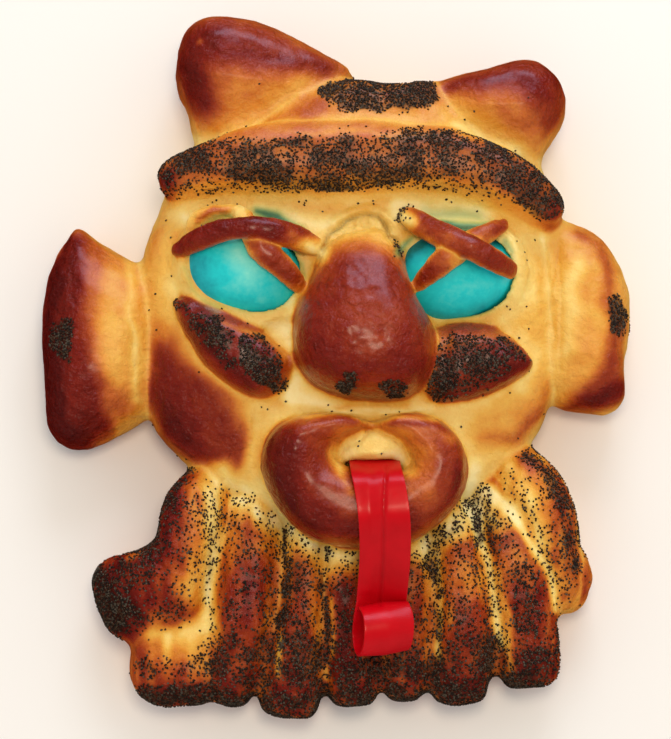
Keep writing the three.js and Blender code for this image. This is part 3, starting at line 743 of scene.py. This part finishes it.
def crust_material():
    shader = Shader("egg_washed_crust")
    # the browning attribute also holds a few strokes of painted shade and a painted highlight
    browning_and_painted_light, egg_dye_and_shade = shader.attribute("browning_and_painted_light"), shader.attribute("egg_dye_and_shade")
    blotch = shader.swing(shader.noise(160.0, 4.0, 0.6), 0.16)
    grain = shader.swing(shader.noise(900.0, 3.0, 0.6), 0.06)
    tone = shader.math("ADD", shader.math("ADD", browning_and_painted_light, blotch), grain)
    # the eggs' dye on the dough, its darkest green partly painted shade
    dye_and_shade_colour = shader.ramp(egg_dye_and_shade, [(0.0, linear(206, 206, 120)), (0.45, linear(140, 180, 96)),
                              (0.8, linear(40, 140, 90)), (1.0, linear(12, 96, 80))])
    colour = shader.mix(egg_dye_and_shade, shader.ramp(tone, CRUST_TONES), dye_and_shade_colour)
    # painted shade: dark brown mixed in where the shade attribute says
    colour = shader.mix(shader.attribute("shade"), colour, linear(44, 28, 18))
    depth = shader.math("ADD", shader.math("MULTIPLY", browning_and_painted_light, 0.9), 0.15)
    wrinkles = shader.swing(shader.noise(270.0, 3.0, 0.5, 0.2), depth)
    pores = shader.math("MULTIPLY", shader.noise(1500.0, 2.0, 0.5), 0.06)
    relief = shader.math("ADD", wrinkles, pores)
    rough = shader.ramp(tone, [(0.0, grey(0.62)), (0.4, grey(0.46)), (0.8, grey(0.3))])
    gloss = shader.ramp(tone, [(0.0, grey(0.5)), (0.4, grey(0.42)), (0.8, grey(0.25))])
    coat = shader.math("SUBTRACT", 0.5, shader.math("MULTIPLY", shader.attribute("beard"), 0.34))
    return shader.finish(Base_Color=colour, Roughness=rough, Subsurface_Weight=0.1,
                         Subsurface_Radius=(0.004, 0.002, 0.001), Subsurface_Scale=0.5,
                         Coat_Weight=coat, Coat_Roughness=gloss, Specular_IOR_Level=0.2,
                         Normal=shader.bump(relief, 1.0, 0.0035))


def seed_material(name, colour, light):
    shader = Shader(name)
    tone = shader.mix(shader.noise(700.0, 1.0), colour, light)
    return shader.finish(Base_Color=tone, Roughness=0.55, Specular_IOR_Level=0.25)


def egg_material():
    shader = Shader("dyed_shell")
    cloud = shader.swing(shader.noise(55.0, 4.0, 0.55, 0.6), 0.5)
    speck = shader.swing(shader.noise(420.0, 3.0, 0.6), 0.22)
    # depth holds each egg's dye with its painted shade and painted light
    tone = shader.math("ADD", shader.attribute("depth"), shader.math("ADD", cloud, speck))
    colour = shader.ramp(tone, [(0.0, linear(176, 236, 216)), (0.3, linear(112, 218, 206)),
                                (0.55, linear(24, 200, 204)), (0.8, linear(8, 160, 172)),
                                (1.0, linear(6, 108, 108))])
    return shader.finish(Base_Color=colour, Roughness=0.5, Specular_IOR_Level=0.25,
                         Subsurface_Weight=0.1, Subsurface_Radius=(0.002, 0.003, 0.003),
                         Normal=shader.bump(speck, 0.12, 0.0004))


def candy_material():
    shader = Shader("red_strip")
    colour = shader.mix(shader.noise(120.0), linear(168, 0, 10), linear(202, 2, 20))
    ripple = shader.noise(90.0, 2.0, 0.5, 0.3)
    return shader.finish(Base_Color=colour, Roughness=0.34, Specular_IOR_Level=0.16, Coat_Weight=0.14,
                         Coat_Roughness=0.16, Normal=shader.bump(ripple, 0.25, 0.0015))


# ---- The loaf

# Creases that the dough filled: rounds of smoothing and softness.
SOFTENED = strokes("""
170 12: 176,200,9 215,196,9 300,198,10 365,198,10 430,192,10 484,203,9 522,219,8 548,230,5
40 8: 225,140,4 280,128,5 370,127,5 440,128,5 500,152,4
90 10: 556,236,6 562,300,7 560,380,7
40 8: 330,250,4 365,240,5 400,252,4
70 8: 520,232,4 526,262,5 522,296,5 504,324,4 470,334,3
50 8: 182,246,3 176,272,4 186,300,3 220,318,3 262,326,3
80 8: 434,211,3 460,215,6 486,217,5
""")

# Where the dough is wrinkled, is pressed into folds round the eyes, and tore open above the nose.
WRINKLED = "350,285,24 368,350,36"
LIPS_WRINKLED = "288,445,14 286,488,14 330,516,12 400,532,8 442,492,14 436,446,10"
FOLDED = ("500,322,7 522,292,8 524,250,8 508,222,6 470,206,6 430,202,6",
          "176,236,4 176,276,6 196,306,5 240,324,5 290,322,7 300,296,4")
TORN = "328,240,6 345,224,9 370,218,10 394,232,8"
TEAR = ("322,250,1 328,236,1 338,229,1 346,221,1.5 356,216,1 366,214,1 378,216,1 386,226,1.5 "
        "389,236,1.5 397,241,1 402,258,1")
# painted shade in the tear above the nose: how dark, and how soft its edge is
TEAR_SHADE = 0.5
TEAR_SHADE_SOFT = 9

# Swells and creases of the dough: lift in millimetres and softness.
PRESSED = strokes(f"""
3.0 50: 296,450,14
1.6 12: 300,430,8 335,430,9 356,427,4
-1.8 6: 369,429,1 359,442,1 343,449,1 337,460,1
-1.8 6: 373,430,1 392,435,1 404,446,1.5 412,460,2 411,470,2
1.2 12: 384,425,3 410,432,6 428,450,7
-1.2 5: 320,409,1 345,412,1 370,415,1 400,411,1 425,409,1
1.6 9: 333,224,3 350,213,3 368,208,4 386,216,3 400,232,3
-2.6 3.5: {TEAR}
-1.3 5: 250,198,1 249,216,1
-1.2 5: 327,230,1 325,246,1
1.2 8: 546,236,2 551,268,2 555,300,2
-1.0 6: 558,240,1 562,300,1 560,370,1
-1.0 6: 256,410,1 252,440,1
.9 14: 180,292,3 196,240,3
3.0 46: 215,74,8 290,86,8
3.0 36: 470,106,6 530,104,8
.8 7: 182,262,1 180,282,1 196,300,1 226,312,1
-.8 5: 560,250,1 548,300,1 556,340,1
""")


def shaped_by_hand(points, normals):
    """Uneven, as dough is: swells and creases, lumps in the beard and the torn dough above the nose."""
    at = seen(points)
    height = points[:, 2]
    free = smoothstep(height / 8)
    move = bumps(points, (0.7, 22, 2.2), (0.3, 9, 4.4), (0.15, 4, 5.5), (0.09, 2.4, 7.7))
    lips = stroke(at, LIPS_WRINKLED, 16) * (height > 30)
    move += lips * (0.3 * noise(points, 6, 2.9) + 0.2 * noise(points * (1, 0.6, 1), 2.8, 3.1))
    for chain in FOLDED:
        move += stroke(at, chain, 10) * bumps(points, (0.6, 7, 1.9), (0.22, 3, 6.7))
    beard = smoothstep((at[:, 1] - 520) / 60)
    move += beard * bumps(points, (0.8, 11, 6.1), (0.35, 5, 7.9))
    torn = stroke(at, TORN, 8) * (height > 40)
    ridge = 1 - np.abs(noise(points * (1, 1.6, 1), 5, 9.3))
    move += torn * (2.0 * (ridge - 0.62) + 0.7 * noise(points, 2.2, 1.1))
    wrinkled = stroke(at, WRINKLED, 30) * (height > 55)
    move += wrinkled * (0.5 * noise(points * (1, 0.7, 1), 6, 3.3) + 0.28 * noise(points, 2.6, 8.2))
    points = points + normals * (move * free)[:, None]
    upward = smoothstep((normals[:, 2] + 0.1) / 0.5)
    for lift, soft, chain in PRESSED:
        points[:, 2] += lift * upward * free * stroke(at, chain, soft)
    return points


def make_loaf(grid):
    whole, lumps, eggs = make_fields(grid)
    points, quads = grid.surface(whole)
    points = smoothed(points, quads, 3)
    at = seen(points)
    for rounds, soft, chain in SOFTENED:
        points = relaxed(points, quads, stroke(at, chain, soft) * (points[:, 2] > 6), rounds)
    normals = normals_of(points, quads)
    points = shaped_by_hand(points, normals)
    normals = normals_of(points, quads)
    browning_and_painted_light, egg_dye_and_shade, beard = paint(points, normals, lumps, eggs, grid.relief(whole), grid)
    loaf = make_mesh("loaf", points, quads)
    # painted shade: the crust darker among the thickest seeds, less on steep walls, and in the tear above
    # the nose
    crowd = (seed_density(points, normals, lumps, grid) - SHADED_FROM) / SHADED_OVER
    shade = SEED_SHADE * np.clip(crowd, 0, 1)
    shade *= smoothstep((normals[:, 2] + 0.2) / 0.3)
    shade = np.maximum(shade, TEAR_SHADE * stroke(seen(points), TEAR, TEAR_SHADE_SOFT))
    for name, values in (("browning_and_painted_light", browning_and_painted_light), ("egg_dye_and_shade", egg_dye_and_shade), ("shade", shade), ("beard", beard)):
        put_attribute(loaf.data, name, values)
    loaf.data.materials.append(crust_material())
    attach(loaf, "root")
    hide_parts(*DOUGH)
    return points, quads, normals, lumps


# ---- Poppy seeds

# Patches of seeds: seeds to a square millimetre and softness.
SEEDS = strokes("""
brow
1.5 9: 167,165,14 200,158,15 240,160,20 285,162,24 330,163,28 365,161,27 410,156,25 450,155,23
    490,163,20 520,178,18 546,200,19
.45 16: 175,186,8 260,182,8 330,186,8 420,180,8 500,192,8
any
.08 12: 180,196,7 260,194,7 330,200,6 420,192,6 500,205,6
.7 5: 380,134,2 400,131,2 425,128,3
2.4 6: 328,92,10 345,94,13 375,95,14 400,97,13 428,97,12
cheek_left
2.0 5: 196,320,8 206,327,12 223,337,12
.8 6: 218,352,5 230,362,5
2.0 5: 252,342,12 256,358,17 266,370,17 279,384,9
.7 6: 173,302,3 186,310,4
.8 6: 290,388,5
cheek_right
1.8 6: 437,376,20 450,350,14 475,355,22 502,350,12 520,358,5
.8 8: 440,394,8 470,384,8 505,366,8
nose
1.8 5: 346,386,8 352,378,8
1.8 5: 388,388,8 398,386,8
ear_left
1.7 5: 64,330,10 62,348,12
ear_right
1.7 5: 617,306,8 619,328,9
any
.7 5: 399,218,4 404,210,5 412,204,3
.5 5: 397,240,3 402,252,3
beard
.34 30: 220,520,30 300,600,60 430,610,60 530,560,50
1.5 22: 104,585,16 116,618,16 140,615,10
.75 20: 184,472,8 166,505,12 152,545,14 130,575,18
beard_lobe_left
.3 20: 190,500,14 180,560,20 170,610,18
beard_lower_strand
.55 16: 150,670,10 195,665,10
beard
1.7 20: 150,698,10 205,698,14 250,706,12 300,706,12 350,700,12 400,694,12 450,696,12 530,680,12
1.05 40: 225,660,24 300,660,30 360,670,26 430,665,26 530,650,28
beard_strand_1
.4 24: 240,560,14 238,610,16
beard
1.6 7: 283,508,2 284,545,3 287,580,6 284,625,6
.9 16: 298,565,7 300,610,10 306,660,12
1.4 7: 325,545,2 326,600,4 330,650,3
beard_strand_3
.6 20: 345,590,10 348,640,12
beard
1.5 8: 431,548,6 437,600,4 438,680,5
.6 20: 405,575,8 412,620,12
1.6 9: 474,518,6 480,545,4
.6 8: 484,560,3 490,620,3
1.6 9: 492,640,5 488,668,7
.7 8: 213,540,3 208,600,3 214,640,4
.9 18: 440,536,7 466,512,10 478,486,8 500,545,10
.6 22: 460,590,10 464,640,12
beard_strand_6
.75 24: 520,575,12 530,620,16
beard_lobe_right
1.2 14: 528,456,7 552,478,8 568,520,7 573,570,5
.35 20: 520,480,12 550,530,12 560,580,8
""")

# Bare places in those patches: how bare and softness.
BARE = strokes("""
.9 12: 236,140,6 268,133,6 300,130,5
.9 10: 355,132,4 400,134,4
.95 5: 237,336,3 236,346,3 232,350,4
.7 6: 258,344,5
.9 8: 130,556,5
.9 8: 222,560,3 228,595,3
.8 10: 140,645,4 200,648,5
.85 10: 500,498,6 520,525,6 538,560,5 552,605,5
.7 12: 262,560,6
.8 10: 507,590,3 510,660,3
""")

SEED_SIZE = (1.15, 0.92, 0.8)
SEED_SIDES = 6
SEED_WAVE = 0.25            # how far the corners round a seed stand out of its plane
SEED_ROOM = 0.72            # side of the little box that holds no more than one seed
SEED_LIFT = 0.2
SEED_LEAN = 0.25
SEED_SIZES = (0.85, 1.15)   # the smallest and the largest, against the usual size
# painted shade: the crust is painted darker among the thickest seeds
SEED_SHADE = 0.68           # how dark the crust is among the thickest seeds
SHADED_FROM = 0.3           # seeds to a square millimetre where that starts
SHADED_OVER = 1.5
STRAY = 0.004               # seeds to a square millimetre that fell elsewhere on the face and beard
SEED_REACH = 2.0            # millimetres round a node in which the seeds of its patches lie
CLEAN = ("nose", "lips", "horn", "ear", "strip")    # no stray seeds lie on these or close to them
CLEAN_REACH = 1.5
UNSEEDED = 0.12             # a wall turned this far from the photographer bears no seeds

# (piece, share of the seeds, its two colours)
SEED_KINDS = [
    ("seeds_black", 0.48, linear(22, 18, 14), linear(46, 38, 30)),
    ("seeds_grey", 0.2, linear(52, 47, 40), linear(100, 92, 78)),
    ("seeds_brown", 0.32, linear(46, 30, 20), linear(88, 62, 42)),
]


def seed_shape():
    """Corners and triangles of one seed: a ring of corners between two poles."""
    here = np.arange(SEED_SIDES)
    turn = here * 2 * math.pi / SEED_SIDES
    ring = np.stack([np.cos(turn), np.sin(turn), SEED_WAVE * np.cos(3 * turn)], axis=1)
    corners = np.concatenate([ring, [[0, 0, 1], [0, 0, -1]]]) * SEED_SIZE / 2
    after = (here + 1) % SEED_SIDES
    top = np.stack([here, after, np.full(SEED_SIDES, SEED_SIDES)], axis=1)
    bottom = np.stack([after, here, np.full(SEED_SIDES, SEED_SIDES + 1)], axis=1)
    return corners, np.concatenate([top, bottom])


def seed_density(points, facing, lumps, grid):
    """Seeds to a square millimetre at each place, denser where the patches are and none on the walls
    at the back of the head."""
    at = wandering(points, 6, 2.7, 6.6)
    distances = {name: distance_to(lumps[name], grid, points) for name in lumps}
    density = np.zeros(len(points))
    for prefix, amount, soft, chain in SEEDS:
        near = np.min([d for name, d in distances.items() if name.startswith(prefix)], axis=0)
        density = np.maximum(density, (near < SEED_REACH) * amount * stroke(at, chain, soft))
    density *= 0.5 + smoothstep(0.55 + bumps(points, (0.8, 7, 3.9), (0.5, 3, 9.9)))
    for amount, soft, chain in BARE:
        density *= 1 - amount * stroke(at, chain, soft)
    clean = np.min([d for name, d in distances.items() if name.startswith(CLEAN)], axis=0)
    return (density + STRAY * (clean > CLEAN_REACH)) * smoothstep(1 - facing @ FORWARD / UNSEEDED)


def seed_places(points, quads, normals, lumps, grid, draw):
    """Places on the loaf and their normals."""
    middles = points[quads].mean(axis=1)
    facing = normals[quads].mean(axis=1)
    areas = 0.5 * np.linalg.norm(crossed(points, quads), axis=1)
    density = seed_density(middles, facing, lumps, grid) * (middles[:, 2] > 3) * (facing[:, 2] > -0.2)
    count = draw.poisson(density * areas)
    chosen = np.repeat(np.arange(len(quads)), count)
    a, b = draw.rand(2, len(chosen), 1)
    corners = points[quads[chosen]]
    one_side = corners[:, 0] * (1 - a) + corners[:, 1] * a
    other_side = corners[:, 3] * (1 - a) + corners[:, 2] * a
    places = one_side * (1 - b) + other_side * b
    keys = np.floor(places / SEED_ROOM).astype(int)
    _, first = np.unique(keys, axis=0, return_index=True)
    return places[first], facing[chosen[first]]


def make_seeds(points, quads, normals, lumps, grid):
    draw = np.random.RandomState(5)
    places, facing = seed_places(points, quads, normals, lumps, grid, draw)
    kind = draw.choice(len(SEED_KINDS), len(places), p=[share for _, share, _, _ in SEED_KINDS])
    corners, triangles = seed_shape()
    for number, (name, _, colour, light) in enumerate(SEED_KINDS):
        own = np.nonzero(kind == number)[0]
        up = facing[own] + SEED_LEAN * draw.normal(size=(len(own), 3))
        up /= np.linalg.norm(up, axis=1)[:, None]
        side = np.cross(up, draw.normal(size=(len(own), 3)))
        side /= np.linalg.norm(side, axis=1)[:, None]
        axes = np.stack([side, np.cross(up, side), up], axis=1)
        size = draw.uniform(*SEED_SIZES, (len(own), 1, 1))
        seeds = places[own][:, None] + SEED_LIFT * up[:, None] + size * (corners @ axes)
        faces = triangles[None] + (np.arange(len(own)) * len(corners))[:, None, None]
        piece = make_mesh(name, seeds.reshape(-1, 3), faces.reshape(-1, 3))
        piece.data.materials.append(seed_material(name, colour, light))
        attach(piece, "root")


# ---- Eggs and tongue

EGG_RINGS, EGG_SEGMENTS = 48, 72
EGG_TAPER = 0.1             # how much wider an egg is towards its blunt end
EGG_WIDEST = 1.005          # the widest place of an egg tapered so, against one that isn't

# How deep the dye is on each egg, from 0 to 1, painted as the browning is. The strokes also paint shade on
# its edges, its bottom and under the strips, and light on its middle and lower part.
EGG_DYE = {"egg_left": 0.5, "egg_right": 0.58}
# painted shade on the left and lower edges, painted light in the middle
# painted shade under the strips and on the lower edge, painted light on the lower part
EGG_PAINT = strokes("""
egg_left
.86 .9 24: 190,255,5 196,280,8 215,298,4
.74 .7 16: 204,262,8
.12 .9 30: 238,256,8 248,272,8
.66 .7 16: 230,300,4 270,306,6 292,294,5
.34 .7 8: 262,300,4
egg_right
.84 .9 24: 404,262,8 425,242,8 470,232,8
1.05 .9 12: 403,262,4 410,248,6 424,242,4
1.0 .8 10: 478,236,4 496,244,4
.5 .9 24: 440,300,12 480,285,12
.8 .8 14: 430,318,4 470,320,4 500,296,4
""")


def make_egg(node):
    """A smooth egg along the axes of the node, deeper dyed towards the dough round it, with painted shade
    and light on it.
    """
    corners, _ = node_mesh(node)
    middle = (corners.min(axis=0) + corners.max(axis=0)) / 2
    spread, axes = np.linalg.eigh(np.cov((corners - middle).T))
    axes = axes[:, np.argsort(spread)[::-1]]
    local = (corners - middle) @ axes
    half = (local.max(axis=0) - local.min(axis=0)) / 2
    front, back = (np.abs(local[end][:, 1]).max() for end in (local[:, 0] > 0, local[:, 0] < 0))
    axes[:, 2] *= np.linalg.det(axes)
    ball = bmesh.new()
    bmesh.ops.create_uvsphere(ball, u_segments=EGG_SEGMENTS, v_segments=EGG_RINGS, radius=1)
    along, across, up = np.array([vertex.co for vertex in ball.verts])[:, [2, 0, 1]].T
    width = half[1] / EGG_WIDEST * (1 + EGG_TAPER * np.sign(front - back) * along)
    shape = np.stack([half[0] * along, width * across, width * up], axis=1) @ axes.T + middle
    for vertex, place in zip(ball.verts, shape * MM):
        vertex.co = place
    mesh = bpy.data.meshes.new(node + "_shell")
    ball.to_mesh(mesh)
    ball.free()
    mesh.shade_smooth()
    egg = placed(node + "_shell", mesh)
    depth = painted(np.full(len(shape), EGG_DYE[node]), seen(shape), {node: 1.0}, EGG_PAINT)
    put_attribute(mesh, "depth", depth)
    mesh.materials.append(egg_material())
    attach(egg, "root")
    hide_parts(node)


SAME_CORNER = 0.01          # corners of the node closer than this are one
JOINED_ACROSS, JOINED_SHAPE = 40, 50    # degrees up to which two triangles of the node become a quad
TONGUE_LEVELS = 4           # how finely the strip is rounded
TONGUE_CREASE = 0.85
CREASED_ALONG, CREASED_ACROSS = 5, 55   # degrees between faces from which an edge is kept sharp
ROLL_LENGTH = 20            # the strip's end, in millimetres, which is rolled up
ROLL_TILT = 0.25            # radians that the roll is tipped up on its left
TILT_START, TILT_OVER = 26, 10          # where that starts, from the strip's end, and how soon it is full

# The crease along the tongue and the swell beside it, as PRESSED is.
TONGUE_PRESSED = strokes("""
.9 16: 368,476,4 371,530,5 369,590,4
-1.8 4: 386,466,0.6 384,500,0.6 383,560,0.6 380,606,0.6
""")


def make_tongue():
    """The node's strip with its facets rounded, its edges kept and its roll tilted."""
    bm = bmesh.new()
    bm.from_mesh(NODES[TONGUE].data)
    bmesh.ops.remove_doubles(bm, verts=bm.verts, dist=SAME_CORNER * MM)
    bmesh.ops.join_triangles(bm, faces=bm.faces, angle_face_threshold=math.radians(JOINED_ACROSS),
                             angle_shape_threshold=math.radians(JOINED_SHAPE))
    crease = bm.edges.layers.float.new("crease_edge")
    for edge in bm.edges:
        run = edge.verts[1].co - edge.verts[0].co
        lengthwise = abs(run.x) < 0.6 * run.length
        sharp = math.radians(CREASED_ALONG if lengthwise else CREASED_ACROSS)
        if len(edge.link_faces) == 2 and edge.calc_face_angle() > sharp:
            edge[crease] = TONGUE_CREASE
    rough = bpy.data.meshes.new("rough_tongue")
    bm.to_mesh(rough)
    bm.free()
    cast = placed("rough_tongue", rough)
    rounding = cast.modifiers.new("rounding", "SUBSURF")
    rounding.levels = rounding.render_levels = TONGUE_LEVELS
    view = bpy.context.evaluated_depsgraph_get()
    mesh = bpy.data.meshes.new_from_object(cast.evaluated_get(view))
    mesh.name = "red_tongue"
    bpy.data.objects.remove(cast)
    points = corners_of(mesh)
    low = points[:, 1].min()
    roll = points[:, 1] < low + ROLL_LENGTH
    middle = (points[roll].min(axis=0) + points[roll].max(axis=0)) / 2
    turn = ROLL_TILT * smoothstep((low + TILT_START - points[:, 1]) / TILT_OVER)
    across, up = points[:, 0] - middle[0], points[:, 2] - middle[2]
    points[:, 0] = middle[0] + across * np.cos(turn) + up * np.sin(turn)
    points[:, 2] = middle[2] - across * np.sin(turn) + up * np.cos(turn)
    at = seen(points)
    for lift, soft, chain in TONGUE_PRESSED:
        points[:, 2] += lift * stroke(at, chain, soft) * (points[:, 1] > low + ROLL_LENGTH)
    mesh.vertices.foreach_set("co", (points * MM).astype(np.float32).ravel())
    mesh.shade_smooth()
    tongue = placed("red_tongue", mesh)
    mesh.materials.append(candy_material())
    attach(tongue, "root")
    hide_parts(TONGUE)


# ---- Stage, light and camera

def make_camera():
    data = bpy.data.cameras.new("camera")
    camera = placed("camera", data)
    camera.location = (TARGET - FORWARD * CAMERA_DISTANCE) * MM
    camera.rotation_euler = (math.pi / 2 - CAMERA_ELEVATION, 0, 0)
    data.sensor_width = SENSOR
    data.lens = SENSOR * CAMERA_DISTANCE / PIXEL / PHOTO_SIZE[1]
    bpy.context.scene.camera = camera


# (name, place, size, watts, colour, whether the crust mirrors it, whether it lights matt surfaces)
LIGHTS = [
    ("window", (0.2, 1.4, 0.9), (0.8, 0.5), 9.5, (0.86, 0.92, 1.0), False, True),
    ("window_shine", (0.3, 1.42, 0.85), (1.3, 0.8), 16, (0.6, 0.72, 1.0), True, False),
    ("lamp", (0.04, 0.03, 0.85), (0.24, 0.24), 2.6, (1.0, 0.8, 0.6), True, True),
]
LIT_PLACE = Vector((0, 0, 0.03))
FLOOR_SIZE = 6

# The room is lighter around than overhead. Only the lights are mirrored in the crust.
HORIZON_GLOW = 1.28
ZENITH_GLOW = 0.2


def make_area(name, place, size, power, colour, mirrored, lighting):
    light = bpy.data.lights.new(name, "AREA")
    light.shape = "RECTANGLE"
    light.size, light.size_y = size
    light.energy = power
    light.color = colour
    area = placed(name, light)
    area.location = place
    area.rotation_euler = (LIT_PLACE - Vector(place)).to_track_quat("-Z", "Y").to_euler()
    area.visible_glossy = mirrored
    area.visible_diffuse = lighting


def make_stage():
    for light in LIGHTS:
        make_area(*light)
    bpy.ops.mesh.primitive_plane_add(size=FLOOR_SIZE, location=(0, 0, 0))
    floor = bpy.context.object
    floor.name = "floor"
    shader = Shader("pale_floor")
    tone = shader.mix(shader.noise(3.0), linear(244, 243, 240), linear(238, 237, 234))
    floor.data.materials.append(shader.finish(Base_Color=tone, Roughness=0.7))
    floor.visible_glossy = False
    sky = Shader("studio", bpy.data.worlds)
    direction = sky.node("ShaderNodeTexCoord").outputs["Generated"]
    height = sky.node("ShaderNodeSeparateXYZ", {"Vector": direction}).outputs["Z"]
    limits = {"Value": sky.math("MULTIPLY", height, height), "To Min": HORIZON_GLOW, "To Max": ZENITH_GLOW}
    glow = sky.node("ShaderNodeMapRange", limits).outputs["Result"]
    world = sky.finish("Background", Color=(1.0, 0.98, 0.95, 1), Strength=glow)
    world.cycles_visibility.glossy = False
    bpy.context.scene.world = world
    bpy.context.scene.view_settings.view_transform = "Standard"


grid = Grid()
points, quads, normals, lumps = make_loaf(grid)
make_seeds(points, quads, normals, lumps, grid)
for node in EGGS:
    make_egg(node)
make_tongue()
make_camera()
make_stage()
